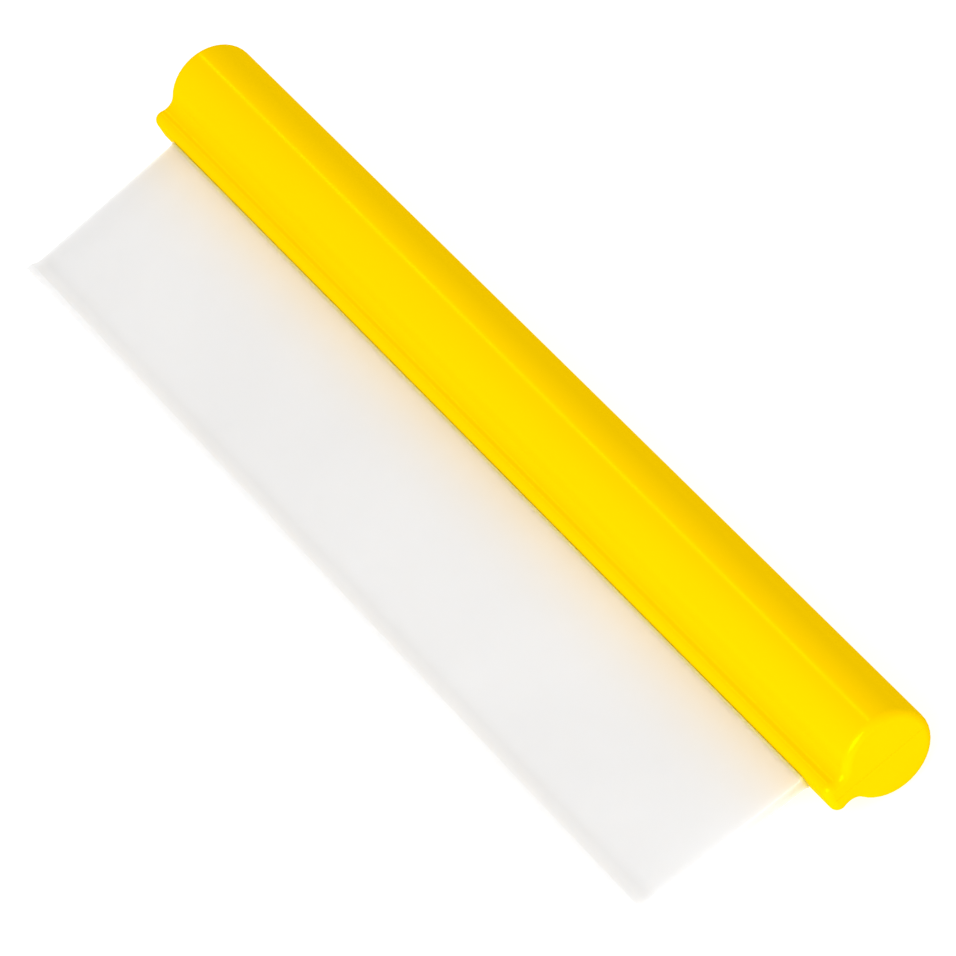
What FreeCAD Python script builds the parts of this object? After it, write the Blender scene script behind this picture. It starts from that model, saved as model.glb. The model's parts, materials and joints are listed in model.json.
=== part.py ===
"""Silicone-blade squeegee: two clamshell handle halves pinned through the root of a moulded blade.

The squeegee lies on a table, resting on its barrel and on the lip of its blade. X runs along
the handle, Y from the wiping edge towards the handle, Z is up.

Every piece is drawn in the blade's own plane first: "up" runs from the wiping edge to the
barrel, measured from the flat underside of the handle's skirt, and "out" runs square to the
blade, positive towards the front shell. The last step lays all the pieces down together.
"""
import FreeCAD, Part
import math
import os

V = FreeCAD.Vector

# Handle, in millimetres
HANDLE_LENGTH = 314.0
BARREL_RADIUS = 11.5
BARREL_UP = 17.0
SKIRT_HALF_WIDTH = 4.3
LIP_RADIUS = 2.2
WAIST_RADIUS = 3.2
END_ROUNDING = 1.9
SHELL_WALL = 1.8
END_WALL = 3.0
SEAM_BEVEL = 0.1

# Clamping rails, ribs and the interlocking seam inside the handle
RAIL_OUT = 3.4
RAIL_TOP = 11.8
RIB_THICKNESS = 1.6
RIB_COUNT = 8
RIB_PITCH = 36.0
RIB_RING = 5.0
RIB_WINDOW_RISE = 2.0
RIB_INTO_WALL = 0.4
TONGUE_THICKNESS = 0.6
TONGUE_HEIGHT = 0.9
TONGUE_GAP = 0.1
TONGUE_LENGTH = 300.0

# Silicone blade
BLADE_LENGTH = 294.0
SHEET_THICKNESS = 3.0
BLADE_DROP = 48.0
BLADE_TAPER = 2.1
BLADE_GAP = 0.15
BEAD_HALF_WIDTH = 3.5
BEAD_HEIGHT = 3.0
BEAD_ROUNDING = 0.5
COLLAR_HALF_WIDTH = 2.1
COLLAR_DROP = 2.0
COLLAR_EDGE = 0.3
COLLAR_HOLLOW = 0.36
WIPER_HALF_WIDTH = 2.5
WIPER_EDGE = 0.7
WIPER_BAR = 1.9
WIPER_SLOPE = 1.6
WIPER_GROOVE_HALF_WIDTH = 1.2
WIPER_GROOVE_DEPTH = 0.5

# Pins that join the two shells through the blade's root
PIN_COUNT = 7
PIN_PITCH = 45.0
PIN_UP = 9.3
PIN_RADIUS = 1.5
PIN_HALF_LENGTH = 4.8
PIN_CHAMFER = 0.3
PIN_FIT = 0.02
PIN_END_GAP = 0.3
PIN_HOLE_GAP = 0.2
BOSS_RADIUS = 2.4

SLOT_OUT = SHEET_THICKNESS / 2 + BLADE_GAP
BEAD_BOTTOM = RAIL_TOP + BLADE_GAP
BEAD_TOP = BEAD_BOTTOM + BEAD_HEIGHT
CAVITY_RADIUS = BARREL_RADIUS - SHELL_WALL
CAVITY_HALF_LENGTH = HANDLE_LENGTH / 2 - END_WALL
SLOT_HALF_LENGTH = BLADE_LENGTH / 2 + BLADE_GAP
HANDLE_TOP = BARREL_UP + BARREL_RADIUS


def point(up, out, x=0.0):
    """A point given by its height along the blade's plane and its distance from that plane."""
    return V(x, up, out)


def wire_through(*edges):
    return Part.Wire(Part.__sortEdges__(list(edges)))


def line(a, b):
    return Part.LineSegment(a, b).toShape()


def arc(a, middle, b):
    return Part.Arc(a, middle, b).toShape()


def on_circle(centre, radius, degrees):
    turn = math.radians(degrees)
    return point(centre.y + radius * math.sin(turn), centre.z + radius * math.cos(turn))


def extrude_along_x(wire, length):
    """A solid of this section, centred on the middle of the handle."""
    face = Part.Face(wire)
    face.translate(V(-length / 2, 0, 0))
    return face.extrude(V(length, 0, 0))


def block(x_low, x_high, up_low, up_high, out_low, out_high):
    corner = point(up_low, out_low, x_low)
    return Part.makeBox(x_high - x_low, up_high - up_low, out_high - out_low, corner)


def waist_centre():
    """Centre of the hollow between skirt and barrel, which is tangent to both rounds."""
    barrel = point(BARREL_UP, 0)
    lip = point(LIP_RADIUS, SKIRT_HALF_WIDTH - LIP_RADIUS)
    to_barrel = BARREL_RADIUS + WAIST_RADIUS
    to_lip = LIP_RADIUS + WAIST_RADIUS
    between = lip.sub(barrel)
    span = between.Length
    along = (to_barrel ** 2 - to_lip ** 2 + span ** 2) / (2 * span)
    aside = math.sqrt(to_barrel ** 2 - along ** 2)
    unit = V(between).normalize()
    square = V(0, unit.z, -unit.y)
    return barrel + unit * along + square * aside


def mirrored(p):
    return point(p.y, -p.z)


def handle_section():
    """Keyhole outline: round barrel, hollow waist, skirt with rounded lips, flat underside."""
    barrel = point(BARREL_UP, 0)
    lip = point(LIP_RADIUS, SKIRT_HALF_WIDTH - LIP_RADIUS)
    waist = waist_centre()
    barrel_to_waist = V(waist - barrel).normalize()
    lip_to_waist = V(waist - lip).normalize()
    high = barrel + barrel_to_waist * BARREL_RADIUS
    low = lip + lip_to_waist * LIP_RADIUS
    hollow = V((high + low) * 0.5 - waist).normalize() * WAIST_RADIUS + waist
    foot = point(0, lip.z)
    lip_angle = math.degrees(math.atan2(lip_to_waist.y, lip_to_waist.z))
    lip_middle = on_circle(lip, LIP_RADIUS, (lip_angle - 90) / 2)
    top = point(HANDLE_TOP, 0)
    return wire_through(
        arc(high, top, mirrored(high)),
        arc(high, hollow, low),
        arc(mirrored(high), mirrored(hollow), mirrored(low)),
        arc(low, lip_middle, foot),
        arc(mirrored(low), mirrored(lip_middle), mirrored(foot)),
        line(foot, mirrored(foot)),
    )


def handle_outside():
    """The whole outside of the handle with softly rounded ends."""
    body = extrude_along_x(handle_section(), HANDLE_LENGTH)
    ends = []
    for face in body.Faces:
        if abs(face.BoundBox.XLength) < 0.001:
            ends.extend(face.Edges)
    return body.makeFillet(END_ROUNDING, ends)


def cavity():
    """Hollow of the barrel, with room left for the clamping rails beside the blade's root."""
    hollow = Part.makeCylinder(
        CAVITY_RADIUS, 2 * CAVITY_HALF_LENGTH, point(BARREL_UP, 0, -CAVITY_HALF_LENGTH), V(1, 0, 0)
    )
    rails = block(-HANDLE_LENGTH, HANDLE_LENGTH, -1, RAIL_TOP, -RAIL_OUT, RAIL_OUT)
    return hollow.cut(rails)


def blade_slot():
    """Slot that the sheet of the blade passes through, open at the skirt's underside."""
    return block(-SLOT_HALF_LENGTH, SLOT_HALF_LENGTH, -1, RAIL_TOP, -SLOT_OUT, SLOT_OUT)


def pin_places():
    first = -(PIN_COUNT - 1) / 2 * PIN_PITCH
    return [first + i * PIN_PITCH for i in range(PIN_COUNT)]


def rib_places():
    first = -(RIB_COUNT - 1) / 2 * RIB_PITCH
    return [first + i * RIB_PITCH for i in range(RIB_COUNT)]


def rib(x):
    """Cross wall inside the barrel, notched over the blade's bead."""
    disc = Part.makeCylinder(
        CAVITY_RADIUS + RIB_INTO_WALL, RIB_THICKNESS, point(BARREL_UP, 0, x - RIB_THICKNESS / 2), V(1, 0, 0)
    )
    low_x = x - RIB_THICKNESS
    high_x = x + RIB_THICKNESS
    notch_out = BEAD_HALF_WIDTH + 2 * BLADE_GAP
    notch = block(low_x, high_x, -1, BEAD_TOP + 2 * BLADE_GAP, -notch_out, notch_out)
    window_radius = CAVITY_RADIUS - RIB_RING
    window_centre = point(BARREL_UP + RIB_WINDOW_RISE, 0, low_x)
    window = Part.makeCylinder(window_radius, 2 * RIB_THICKNESS, window_centre, V(1, 0, 0))
    return disc.cut(notch).cut(window)


def boss(x):
    """Round post on each side that holds one pin."""
    return Part.makeCylinder(BOSS_RADIUS, 2 * BARREL_RADIUS, point(PIN_UP, -BARREL_RADIUS, x), V(0, 0, 1))


def pin_hole(x):
    reach = PIN_HALF_LENGTH + PIN_END_GAP
    return Part.makeCylinder(PIN_RADIUS + PIN_FIT, 2 * reach, point(PIN_UP, -reach, x), V(0, 0, 1))


def handle_solid():
    """Both shells in one: outside, less cavity and slot, plus ribs and bosses, less pin holes."""
    outside = handle_outside()
    inside = cavity()
    for x in rib_places():
        inside = inside.cut(rib(x))
    for x in pin_places():
        inside = inside.cut(boss(x))
    body = outside.cut(inside).cut(blade_slot())
    for x in pin_places():
        body = body.cut(pin_hole(x))
    return body


def half_space(side):
    """Everything on one side of the parting plane: side is +1 for the front, -1 for the rear."""
    low, high = (0, 2 * BARREL_RADIUS) if side > 0 else (-2 * BARREL_RADIUS, 0)
    return block(-HANDLE_LENGTH, HANDLE_LENGTH, -BARREL_RADIUS, 2 * HANDLE_TOP, low, high)


def seam_groove():
    """V-shaped wedges that bevel the parting line along the top and down both ends."""
    top = HANDLE_TOP
    end = HANDLE_LENGTH / 2
    size = SEAM_BEVEL
    rim = Part.makePolygon([
        point(top - size, 0),
        point(top + size, 2 * size),
        point(top + size, -2 * size),
        point(top - size, 0),
    ])
    along_top = Part.Face(rim)
    along_top.translate(V(-end, 0, 0))
    grooves = [along_top.extrude(V(2 * end, 0, 0))]
    for side in (-1, 1):
        wedge = Part.makePolygon([
            V(side * (end - size), -1, 0),
            V(side * (end + size), -1, 2 * size),
            V(side * (end + size), -1, -2 * size),
            V(side * (end - size), -1, 0),
        ])
        grooves.append(Part.Face(wedge).extrude(V(0, top + 2, 0)))
    return grooves[0].fuse(grooves[1:])


def tongue(gap):
    """Raised strip on the rear shell, or with a gap round it the groove in the front shell."""
    middle = HANDLE_TOP - SHELL_WALL / 2
    half = TONGUE_THICKNESS / 2 + gap
    reach = TONGUE_LENGTH / 2 + gap
    return block(-reach, reach, middle - half, middle + half, 0, TONGUE_HEIGHT + gap)


def front_shell(handle):
    half = handle.common(half_space(1))
    return half.cut(tongue(TONGUE_GAP))


def rear_shell(handle):
    half = handle.common(half_space(-1))
    return half.fuse(tongue(0)).removeSplitter()


def blade_section():
    """Bead, sheet, flared collar under the skirt, and the cross bar of the wiping edge."""
    sheet = SHEET_THICKNESS / 2
    tip = -BLADE_DROP
    bar_top = tip + WIPER_BAR
    bead_in = BEAD_HALF_WIDTH - BEAD_ROUNDING
    collar_top = -BLADE_GAP
    collar_low = collar_top - COLLAR_EDGE
    collar_end = -COLLAR_DROP
    outline = [
        point(BEAD_TOP, 0),
        point(BEAD_TOP, bead_in),
        point(BEAD_TOP - BEAD_ROUNDING, BEAD_HALF_WIDTH),
        point(BEAD_BOTTOM, BEAD_HALF_WIDTH),
        point(BEAD_BOTTOM, sheet),
        point(collar_top, sheet),
        point(collar_top, COLLAR_HALF_WIDTH),
        point(collar_low, COLLAR_HALF_WIDTH),
    ]
    collar_foot = point(collar_end, sheet)
    sweep = COLLAR_HALF_WIDTH - sheet
    collar_middle = point(
        collar_low + (collar_end - collar_low) * COLLAR_HOLLOW,
        COLLAR_HALF_WIDTH - sweep * (1 - COLLAR_HOLLOW),
    )
    lower = [
        collar_foot,
        point(bar_top + WIPER_SLOPE, sheet),
        point(bar_top, WIPER_HALF_WIDTH),
        point(tip + WIPER_EDGE / 2, WIPER_HALF_WIDTH),
        point(tip, WIPER_HALF_WIDTH - WIPER_EDGE / 2),
        point(tip, WIPER_GROOVE_HALF_WIDTH),
        point(tip + WIPER_GROOVE_DEPTH, 0),
    ]
    edges = []
    for corners in (outline, lower):
        for a, b in zip(corners, corners[1:]):
            edges.append(line(a, b))
            edges.append(line(mirrored(a), mirrored(b)))
    edges.append(arc(outline[-1], collar_middle, collar_foot))
    edges.append(arc(mirrored(outline[-1]), mirrored(collar_middle), mirrored(collar_foot)))
    return wire_through(*edges)


def end_trim(side):
    """Wedge that slants one end of the blade, so that it is a little shorter at the wiping edge."""
    end = side * BLADE_LENGTH / 2
    beyond = end + side * BLADE_TAPER
    low = -2 * BLADE_DROP
    outline = Part.makePolygon([
        point(0, -BARREL_RADIUS, end),
        point(low, -BARREL_RADIUS, end - side * 2 * BLADE_TAPER),
        point(low, -BARREL_RADIUS, beyond),
        point(0, -BARREL_RADIUS, beyond),
        point(0, -BARREL_RADIUS, end),
    ])
    return Part.Face(outline).extrude(V(0, 0, 2 * BARREL_RADIUS))


def silicone_blade():
    blade = extrude_along_x(blade_section(), BLADE_LENGTH)
    for side in (-1, 1):
        blade = blade.cut(end_trim(side))
    for x in pin_places():
        hole = Part.makeCylinder(
            PIN_RADIUS + PIN_HOLE_GAP, SHEET_THICKNESS * 2, point(PIN_UP, -SHEET_THICKNESS, x), V(0, 0, 1)
        )
        blade = blade.cut(hole)
    return blade


def root_pin(x):
    pin = Part.makeCylinder(
        PIN_RADIUS, 2 * PIN_HALF_LENGTH, point(PIN_UP, -PIN_HALF_LENGTH, x), V(0, 0, 1)
    )
    rims = [edge for edge in pin.Edges if abs(edge.BoundBox.ZLength) < 0.001]
    return pin.makeChamfer(PIN_CHAMFER, rims)


def rest_tilt():
    """Degrees that the blade's plane leans when barrel and wiping lip both touch the table."""
    run = BARREL_UP + BLADE_DROP - WIPER_EDGE / 2
    reach = math.hypot(run, WIPER_HALF_WIDTH)
    return math.degrees(math.asin(BARREL_RADIUS / reach) - math.atan2(WIPER_HALF_WIDTH, run))


def laid_down(shape):
    """Lean the shape back about X, so that the barrel side comes up and the lip comes down."""
    placed = shape.copy()
    placed.rotate(V(0, 0, 0), V(1, 0, 0), rest_tilt())
    return placed


def main():
    handle = handle_solid().cut(seam_groove())
    nodes = {
        "front_shell": front_shell(handle),
        "rear_shell": rear_shell(handle),
        "silicone_blade": silicone_blade(),
    }
    for number, x in enumerate(pin_places(), start=1):
        nodes["root_pin_%d" % number] = root_pin(x)
    laid = {name: laid_down(shape) for name, shape in nodes.items()}
    box = FreeCAD.BoundBox()
    for shape in laid.values():
        box.add(shape.optimalBoundingBox(False))
    footprint_centre = V(box.Center.x, box.Center.y, box.ZMin)
    os.makedirs("parts", exist_ok=True)
    for name, shape in laid.items():
        shape.translate(footprint_centre * -1)
        shape.exportStep("parts/%s.step" % name)


main()
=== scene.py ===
"""Looks of the silicone-blade squeegee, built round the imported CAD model."""
import bpy
import bmesh
import json
import math
from mathutils import Matrix, Vector


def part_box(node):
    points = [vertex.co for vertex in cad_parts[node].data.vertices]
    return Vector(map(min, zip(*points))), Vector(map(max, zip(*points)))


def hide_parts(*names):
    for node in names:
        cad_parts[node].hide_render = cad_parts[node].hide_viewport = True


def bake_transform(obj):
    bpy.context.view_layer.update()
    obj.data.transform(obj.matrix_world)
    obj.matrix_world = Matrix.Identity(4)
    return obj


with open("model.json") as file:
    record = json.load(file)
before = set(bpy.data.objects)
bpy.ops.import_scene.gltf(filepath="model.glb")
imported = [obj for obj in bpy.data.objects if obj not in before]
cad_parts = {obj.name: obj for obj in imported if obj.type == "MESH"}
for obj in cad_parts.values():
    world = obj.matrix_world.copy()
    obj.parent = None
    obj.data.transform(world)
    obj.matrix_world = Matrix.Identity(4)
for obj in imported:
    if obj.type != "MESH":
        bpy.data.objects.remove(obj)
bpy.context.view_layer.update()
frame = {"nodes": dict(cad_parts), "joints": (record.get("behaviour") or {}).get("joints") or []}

MM = 0.001

# The blade's plane, read from the frame: it runs through the hinge line and the middle pin.
HINGE_DROP = 6.0 * MM
MIDDLE_PIN = "root_pin_4"
PINS = ["root_pin_%d" % number for number in range(1, 8)]

# Section of the silicone blade, in metres, as in the CAD
SHEET_HALF = 1.5 * MM
BLADE_DROP = 48.0 * MM
BLADE_TAPER = 2.1 * MM
BEAD_BOTTOM = 11.95 * MM
BEAD_TOP = 14.95 * MM
BEAD_HALF = 3.5 * MM
BEAD_ROUNDING = 0.6 * MM
COLLAR_TOP = -0.15 * MM
COLLAR_HALF = 2.1 * MM
COLLAR_EDGE = 0.3 * MM
COLLAR_DROP = 2.0 * MM
WIPER_HALF = 2.5 * MM
WIPER_BAR = 1.9 * MM
WIPER_ROUNDING = 0.35 * MM
WIPER_SLOPE = 1.6 * MM
GROOVE_HALF = 1.2 * MM
GROOVE_DEPTH = 0.5 * MM
BEND_LENGTH = 13.0 * MM
BEND_STEP = 0.8 * MM
SHEET_STEP = 4.0 * MM
BLADE_SLICES = 24
END_BEVEL = 0.25 * MM
PIN_HOLE_RADIUS = 1.7 * MM

# Light and shade painted into the silicone's colour: how far each painted patch reaches, and how fast
# the painted bounce light from the handle fades
HANDLE_BOUNCE_DEPTH = 26.0 * MM
HANDLE_BOUNCE_FALLOFF = 3.0
SLOPE_LIGHT_BLEND = 1.5 * MM
LIP_GAP_SHADE_DEPTH = 1.2 * MM

# Colours as pairs, from the darker patches to the lighter ones
YELLOW = ((0.94, 0.59, 0.0), (0.96, 0.615, 0.0))
MILKY = ((0.674, 0.674, 0.674), (0.692, 0.692, 0.692))
# Painted light: the bar slope lies in shade, and this lighter colour cancels that shade
SLOPE_PAINTED_LIGHT = ((0.72, 0.72, 0.72), (0.74, 0.74, 0.74))
# Painted light: warm yellow bounce light from the handle, painted onto the blade close under it
HANDLE_BOUNCE_LIGHT = ((0.73, 0.62, 0.44), (0.75, 0.64, 0.46))
# Painted shade: the olive-yellow of the shaded gap under the handle's lip, with the handle's yellow
# reflected into it
LIP_GAP_SHADE = ((0.78, 0.66, 0.06), (0.80, 0.68, 0.08))
NYLON = ((0.70, 0.66, 0.56), (0.78, 0.75, 0.66))
PANE = ((0.45, 0.45, 0.45), (0.47, 0.47, 0.47))
HIGHLIGHT_YELLOW = (1.0, 0.80, 0.0, 1.0)

# Noise levels between which a colour pair or a roughness runs
NOISE_LOW = 0.3
NOISE_HIGH = 0.7

# Sockets of a Mix node that mixes colours
MIX_FIRST = 6
MIX_SECOND = 7
MIX_RESULT = 2

# Light
SKY_STRENGTH = 0.76
FLOOR_GLOW = 1.55
KEY_POWER = 33.0
STRIP_POWER = 1.6
KEY_AT = (1.25, -1.4, 1.35)
KEY_AIM = (0.0, 0.0, 0.0)
KEY_SIZE = (1.8, 1.4)
STRIP_AT = (-1.05, 0.24, 1.02)
STRIP_AIM = (0.0, 0.02, 0.01)
STRIP_SIZE = (0.03, 1.2)
FLOOR_REACH = 6.0
FLOOR_GAP = 0.2 * MM

# Camera: where it stands, what it looks at, how far it is turned about its own axis
CAMERA_AT = Vector((1.3706, -0.3440, 1.3296))
CAMERA_AIM = Vector((0.0116, 0.0044, 0.0115))
CAMERA_ROLL = 24.05
CAMERA_LENS = 313.3
SENSOR_WIDTH = 36.0


def blade_axes():
    """Origin at the middle of the skirt's underside, and the unit vector up the blade."""
    hinge = Vector(frame["joints"][0]["pos_m"])
    low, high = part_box(MIDDLE_PIN)
    up = ((low + high) / 2 - hinge).normalized()
    return hinge + up * HINGE_DROP, up


MOUTH, UP = blade_axes()
ALONG = Vector((1.0, 0.0, 0.0))
OUT = ALONG.cross(UP)


def place(x, up, out):
    """A point of the blade's own plane, in the frame."""
    return MOUTH + ALONG * x + UP * up + OUT * out


def round_corner(centre, radius, start, end, steps=5):
    """Points on an arc given in degrees, from the out direction towards the up direction."""
    points = []
    for step in range(steps + 1):
        turn = math.radians(start + (end - start) * step / steps)
        points.append((centre[0] + radius * math.sin(turn), centre[1] + radius * math.cos(turn)))
    return points


def collar_curve(steps=8):
    """The collar's side, falling in a hollow curve from its edge to the face of the sheet."""
    top = COLLAR_TOP - COLLAR_EDGE
    points = []
    for step in range(steps + 1):
        turn = math.radians(90 * step / steps)
        up = top - (COLLAR_DROP + top) * (1 - math.cos(turn))
        out = COLLAR_HALF - (COLLAR_HALF - SHEET_HALF) * math.sin(turn)
        points.append((up, out))
    return points


def even_steps(high, low, step):
    """Heights strictly between two levels, about one step apart."""
    count = max(1, round((high - low) / step))
    return [high + (low - high) * i / count for i in range(1, count)]


def half_outline():
    """Front half of the blade's section, from the top of the bead to the groove's floor."""
    tip = -BLADE_DROP
    bar_top = tip + WIPER_BAR
    bead = (BEAD_TOP - BEAD_ROUNDING, BEAD_HALF - BEAD_ROUNDING)
    points = [(BEAD_TOP, 0.0)]
    points += round_corner(bead, BEAD_ROUNDING, 90, 0)
    points += [(BEAD_BOTTOM, BEAD_HALF), (BEAD_BOTTOM, SHEET_HALF)]
    points += [(up, SHEET_HALF) for up in even_steps(BEAD_BOTTOM, COLLAR_TOP, SHEET_STEP)]
    points += [(COLLAR_TOP, SHEET_HALF), (COLLAR_TOP, COLLAR_HALF)]
    points += collar_curve()
    bend_end = -BEND_LENGTH
    points += [(up, SHEET_HALF) for up in even_steps(-COLLAR_DROP, bend_end, BEND_STEP)]
    points += [(bend_end, SHEET_HALF)]
    points += [(up, SHEET_HALF) for up in even_steps(bend_end, bar_top + WIPER_SLOPE, SHEET_STEP)]
    points += [(bar_top + WIPER_SLOPE, SHEET_HALF)]
    lean = math.atan2(WIPER_HALF - SHEET_HALF, WIPER_SLOPE)
    shoulder = (bar_top - WIPER_ROUNDING * math.tan(lean / 2), WIPER_HALF - WIPER_ROUNDING)
    points += round_corner(shoulder, WIPER_ROUNDING, math.degrees(lean), 0)
    foot = (tip + WIPER_ROUNDING, WIPER_HALF - WIPER_ROUNDING)
    points += round_corner(foot, WIPER_ROUNDING, 0, -90)
    points += [(tip, GROOVE_HALF), (tip + GROOVE_DEPTH, 0.0)]
    return points


def blade_mesh():
    """The whole blade as one closed skin drawn along X through evenly spaced slices."""
    front = half_outline()
    back = [(up, -out) for up, out in reversed(front[1:-1])]
    ring = front + back
    low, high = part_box("silicone_blade")
    middle = (low.x + high.x) / 2
    half_length = (high.x - low.x) / 2
    bm = bmesh.new()
    slices = []
    for number in range(BLADE_SLICES + 1):
        side = 2 * number / BLADE_SLICES - 1
        points = []
        for up, out in ring:
            reach = half_length - BLADE_TAPER * max(0.0, -up) / BLADE_DROP
            points.append(bm.verts.new(place(middle + side * reach, up, out)))
        slices.append(points)
    for left, right in zip(slices, slices[1:]):
        for i in range(len(ring)):
            j = (i + 1) % len(ring)
            bm.faces.new((left[i], left[j], right[j], right[i]))
    bm.faces.new(slices[0][::-1])
    bm.faces.new(slices[-1])
    bmesh.ops.recalc_face_normals(bm, faces=bm.faces)
    mesh = bpy.data.meshes.new("blade_skin")
    bm.to_mesh(mesh)
    bm.free()
    return mesh


def new_object(name, mesh):
    obj = bpy.data.objects.new(name, mesh)
    bpy.context.scene.collection.objects.link(obj)
    return obj


def apply_modifiers(obj):
    """Replace the object's mesh with its evaluated one."""
    graph = bpy.context.evaluated_depsgraph_get()
    final = bpy.data.meshes.new_from_object(obj.evaluated_get(graph))
    obj.modifiers.clear()
    obj.data = final


def pin_cutter():
    """All the pin holes as one set of closed cylinders across the blade's root."""
    bm = bmesh.new()
    turn = OUT.to_track_quat("Z", "X").to_matrix().to_4x4()
    for pin in PINS:
        low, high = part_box(pin)
        at = Matrix.Translation((low + high) / 2) @ turn
        bmesh.ops.create_cone(
            bm, cap_ends=True, segments=32, radius1=PIN_HOLE_RADIUS, radius2=PIN_HOLE_RADIUS,
            depth=4 * SHEET_HALF, matrix=at,
        )
    mesh = bpy.data.meshes.new("pin_cutter")
    bm.to_mesh(mesh)
    bm.free()
    return new_object("pin_cutter", mesh)


def smooth_by_angle(mesh, degrees):
    mesh.shade_smooth()
    mesh.set_sharp_from_angle(angle=math.radians(degrees))


def make_blade(material):
    blade = new_object("blade", blade_mesh())
    bevel = blade.modifiers.new("edges", "BEVEL")
    bevel.width = END_BEVEL
    bevel.segments = 2
    bevel.limit_method = "ANGLE"
    bevel.angle_limit = math.radians(70)
    cutter = pin_cutter()
    holes = blade.modifiers.new("holes", "BOOLEAN")
    holes.object = cutter
    holes.solver = "EXACT"
    apply_modifiers(blade)
    bpy.data.objects.remove(cutter)
    smooth_by_angle(blade.data, 35)
    blade.data.materials.clear()
    blade.data.materials.append(material)
    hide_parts("silicone_blade")
    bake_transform(blade)
    return blade


def node_material(name):
    """An empty procedural material: its nodes, its links and its shader."""
    material = bpy.data.materials.new(name)
    material.use_nodes = True
    tree = material.node_tree
    shader = tree.nodes["Principled BSDF"]
    return material, tree, shader


def noise(tree, vector, scale, detail=3.0, roughness=0.5):
    node = tree.nodes.new("ShaderNodeTexNoise")
    node.inputs["Scale"].default_value = scale
    node.inputs["Detail"].default_value = detail
    node.inputs["Roughness"].default_value = roughness
    tree.links.new(vector, node.inputs["Vector"])
    return node.outputs["Fac"]


def ramp(tree, value, pair):
    """A colour between the two of a pair, by the level of a noise."""
    node = tree.nodes.new("ShaderNodeValToRGB")
    levels = (NOISE_LOW, NOISE_HIGH)
    for element, position, colour in zip(node.color_ramp.elements, levels, pair):
        element.position = position
        element.color = (*colour, 1.0)
    tree.links.new(value, node.inputs["Fac"])
    return node.outputs["Color"]


def map_range(tree, value, low, high, to_low, to_high):
    node = tree.nodes.new("ShaderNodeMapRange")
    node.inputs["From Min"].default_value = low
    node.inputs["From Max"].default_value = high
    node.inputs["To Min"].default_value = to_low
    node.inputs["To Max"].default_value = to_high
    tree.links.new(value, node.inputs["Value"])
    return node.outputs["Result"]


def spread(tree, value, low, high):
    """A value between two others, by the level of a noise."""
    return map_range(tree, value, NOISE_LOW, NOISE_HIGH, low, high)


def calculate(tree, operation, first, second):
    """A Math node on a socket and on either a second socket or a plain number."""
    node = tree.nodes.new("ShaderNodeMath")
    node.operation = operation
    tree.links.new(first, node.inputs[0])
    if isinstance(second, float):
        node.inputs[1].default_value = second
    else:
        tree.links.new(second, node.inputs[1])
    return node.outputs["Value"]


def object_position(tree, scale=(1.0, 1.0, 1.0)):
    where = tree.nodes.new("ShaderNodeTexCoord")
    mapping = tree.nodes.new("ShaderNodeMapping")
    mapping.inputs["Scale"].default_value = scale
    tree.links.new(where.outputs["Object"], mapping.inputs["Vector"])
    return mapping.outputs["Vector"]


def bump(tree, shader, height, strength, distance):
    node = tree.nodes.new("ShaderNodeBump")
    node.inputs["Strength"].default_value = strength
    node.inputs["Distance"].default_value = distance
    tree.links.new(height, node.inputs["Height"])
    tree.links.new(node.outputs["Normal"], shader.inputs["Normal"])


def handle_plastic():
    """Semi-gloss moulded yellow: faint flow streaks along the handle and a fine mould grain."""
    material, tree, shader = node_material("handle_plastic")
    streaks = noise(tree, object_position(tree, (4.0, 60.0, 60.0)), 1.0, 4.0)
    colour = ramp(tree, streaks, YELLOW)
    tree.links.new(colour, shader.inputs["Base Color"])
    cloud = noise(tree, object_position(tree), 45.0, 4.0)
    tree.links.new(spread(tree, cloud, 0.17, 0.22), shader.inputs["Roughness"])
    grain = noise(tree, object_position(tree), 1800.0, 2.0)
    bump(tree, shader, grain, 0.12, 0.0001)
    shader.inputs["IOR"].default_value = 1.45
    shader.inputs["Specular IOR Level"].default_value = 0.0
    shader.inputs["Metallic"].default_value = 0.08
    shader.inputs["Specular Tint"].default_value = HIGHLIGHT_YELLOW
    return material


def height_up_blade(tree):
    """Height along the blade's plane above the skirt's underside, in metres."""
    where = tree.nodes.new("ShaderNodeTexCoord")
    shift = tree.nodes.new("ShaderNodeVectorMath")
    shift.operation = "SUBTRACT"
    shift.inputs[1].default_value = MOUTH
    tree.links.new(where.outputs["Object"], shift.inputs[0])
    along = tree.nodes.new("ShaderNodeVectorMath")
    along.operation = "DOT_PRODUCT"
    along.inputs[1].default_value = UP
    tree.links.new(shift.outputs["Vector"], along.inputs[0])
    return along.outputs["Value"]


def mix_colour(tree, factor, first, second):
    """The first colour at factor 0, the second at factor 1."""
    node = tree.nodes.new("ShaderNodeMix")
    node.data_type = "RGBA"
    tree.links.new(factor, node.inputs["Factor"])
    tree.links.new(first, node.inputs[MIX_FIRST])
    tree.links.new(second, node.inputs[MIX_SECOND])
    return node.outputs[MIX_RESULT]


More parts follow.
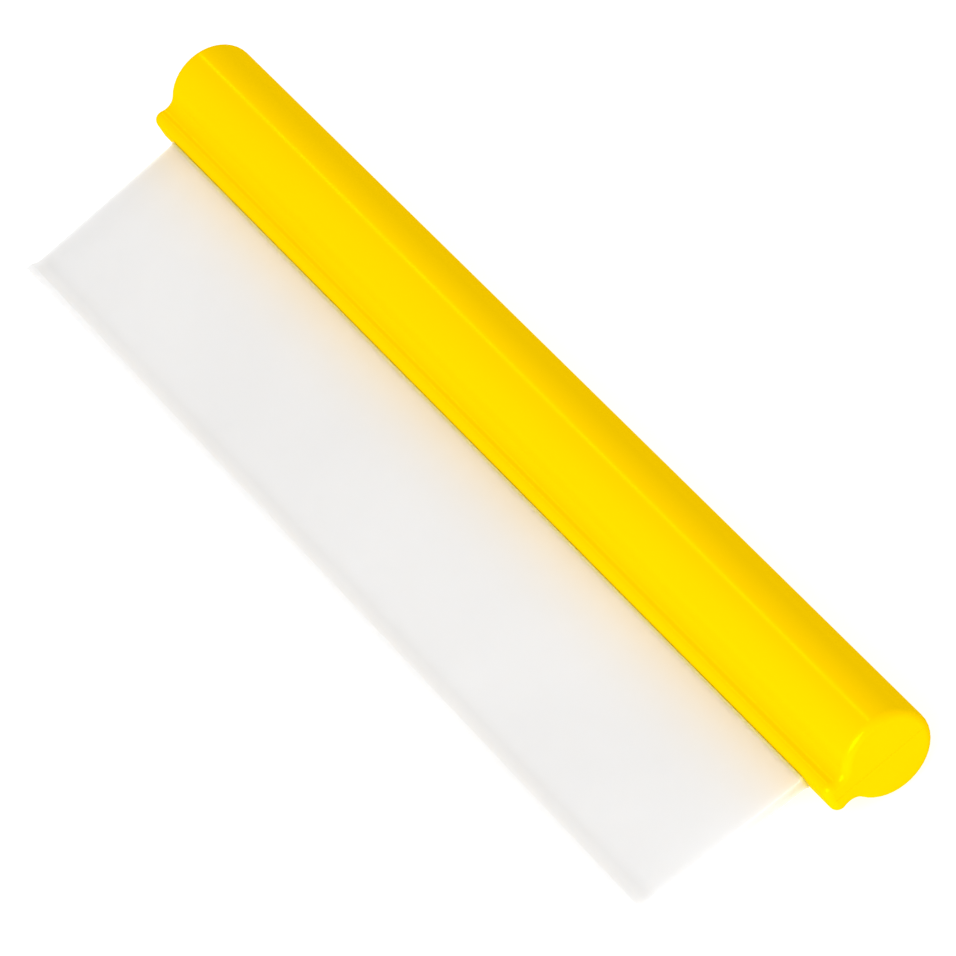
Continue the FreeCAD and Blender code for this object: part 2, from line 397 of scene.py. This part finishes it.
def silicone_colour(tree):
    """Milky, with painted light: warm yellow bounce light from the handle near it, painted light on
    the bar slope against its shade, and painted yellow shade in the lip gap.
    """
    cloud = noise(tree, object_position(tree), 22.0, 3.0)
    height = height_up_blade(tree)
    bar_top = -BLADE_DROP + WIPER_BAR
    slope_end = bar_top + WIPER_SLOPE
    # Painted light on the bar slope: a band from the sheet down to the top of the bar
    above = map_range(tree, height, slope_end, slope_end + SLOPE_LIGHT_BLEND, 1.0, 0.0)
    below = map_range(tree, height, bar_top - SLOPE_LIGHT_BLEND, bar_top, 0.0, 1.0)
    slope_light_mask = calculate(tree, "MULTIPLY", above, below)
    body = mix_colour(tree, slope_light_mask, ramp(tree, cloud, MILKY), ramp(tree, cloud, SLOPE_PAINTED_LIGHT))
    # Painted bounce light from the handle, fading down the blade
    rise = map_range(tree, height, -HANDLE_BOUNCE_DEPTH, 0.0, 0.0, 1.0)
    handle_bounce_mask = calculate(tree, "POWER", rise, HANDLE_BOUNCE_FALLOFF)
    with_bounce_light = mix_colour(tree, handle_bounce_mask, body, ramp(tree, cloud, HANDLE_BOUNCE_LIGHT))
    # Painted shade with yellow reflected light in the gap just under the lip
    lip_gap_shade_mask = map_range(tree, height, -LIP_GAP_SHADE_DEPTH, 0.0, 0.0, 1.0)
    return mix_colour(tree, lip_gap_shade_mask, with_bounce_light, ramp(tree, cloud, LIP_GAP_SHADE))


def blade_silicone():
    """Satin translucent silicone."""
    material, tree, shader = node_material("blade_silicone")
    tree.links.new(silicone_colour(tree), shader.inputs["Base Color"])
    satin = noise(tree, object_position(tree), 90.0, 4.0)
    tree.links.new(spread(tree, satin, 0.42, 0.55), shader.inputs["Roughness"])
    grain = noise(tree, object_position(tree), 1200.0, 3.0)
    bump(tree, shader, grain, 0.10, 0.0001)
    shader.inputs["IOR"].default_value = 1.41
    shader.inputs["Specular IOR Level"].default_value = 0.25
    shader.inputs["Subsurface Weight"].default_value = 1.0
    shader.inputs["Subsurface Radius"].default_value = (1.0, 0.95, 0.90)
    shader.inputs["Subsurface Scale"].default_value = 0.006
    return material


def pin_plastic():
    """Natural nylon with a faint mottle."""
    material, tree, shader = node_material("pin_plastic")
    mottle = noise(tree, object_position(tree), 300.0, 3.0)
    colour = ramp(tree, mottle, NYLON)
    tree.links.new(colour, shader.inputs["Base Color"])
    tree.links.new(spread(tree, mottle, 0.45, 0.6), shader.inputs["Roughness"])
    return material


def floor_paint():
    """White light table: a matt pane, faintly uneven, lit from below."""
    material, tree, shader = node_material("floor_paint")
    cloud = noise(tree, object_position(tree), 3.0, 2.0)
    colour = ramp(tree, cloud, PANE)
    tree.links.new(colour, shader.inputs["Base Color"])
    tree.links.new(colour, shader.inputs["Emission Color"])
    shader.inputs["Emission Strength"].default_value = FLOOR_GLOW
    shader.inputs["Roughness"].default_value = 0.9
    return material


def give_material(node, material):
    obj = frame["nodes"][node]
    if not obj.material_slots:
        obj.data.materials.append(material)
    for slot in obj.material_slots:
        slot.material = material


def make_floor():
    bm = bmesh.new()
    bmesh.ops.create_grid(bm, x_segments=2, y_segments=2, size=FLOOR_REACH)
    mesh = bpy.data.meshes.new("floor")
    bm.to_mesh(mesh)
    bm.free()
    floor = new_object("floor", mesh)
    floor.location.z = -FLOOR_GAP
    mesh.materials.append(floor_paint())


def area_light(name, at, aim, size, power):
    light = bpy.data.lights.new(name, "AREA")
    light.shape = "RECTANGLE"
    light.size = size[0]
    light.size_y = size[1]
    light.energy = power
    lamp = bpy.data.objects.new(name, light)
    lamp.location = at
    lamp.rotation_euler = (Vector(aim) - Vector(at)).to_track_quat("-Z", "Y").to_euler()
    bpy.context.scene.collection.objects.link(lamp)


def make_lights():
    world = bpy.data.worlds.new("studio")
    world.use_nodes = True
    sky = world.node_tree.nodes["Background"]
    sky.inputs["Color"].default_value = (1.0, 1.0, 1.0, 1.0)
    sky.inputs["Strength"].default_value = SKY_STRENGTH
    bpy.context.scene.world = world
    area_light("key", KEY_AT, KEY_AIM, KEY_SIZE, KEY_POWER)
    area_light("strip", STRIP_AT, STRIP_AIM, STRIP_SIZE, STRIP_POWER)


def make_camera():
    data = bpy.data.cameras.new("camera")
    data.lens = CAMERA_LENS
    data.sensor_width = SENSOR_WIDTH
    data.clip_start = 0.01
    data.clip_end = 50.0
    camera = bpy.data.objects.new("camera", data)
    camera.location = CAMERA_AT
    look = (CAMERA_AIM - CAMERA_AT).to_track_quat("-Z", "Y").to_matrix().to_4x4()
    turned = look @ Matrix.Rotation(math.radians(-CAMERA_ROLL), 4, "Z")
    camera.rotation_euler = turned.to_euler()
    bpy.context.scene.collection.objects.link(camera)
    bpy.context.scene.camera = camera


def main():
    bpy.context.scene.view_settings.view_transform = "Standard"
    make_camera()
    make_lights()
    make_floor()
    make_blade(blade_silicone())
    yellow = handle_plastic()
    give_material("front_shell", yellow)
    give_material("rear_shell", yellow)
    nylon = pin_plastic()
    for pin in PINS:
        give_material(pin, nylon)


main()
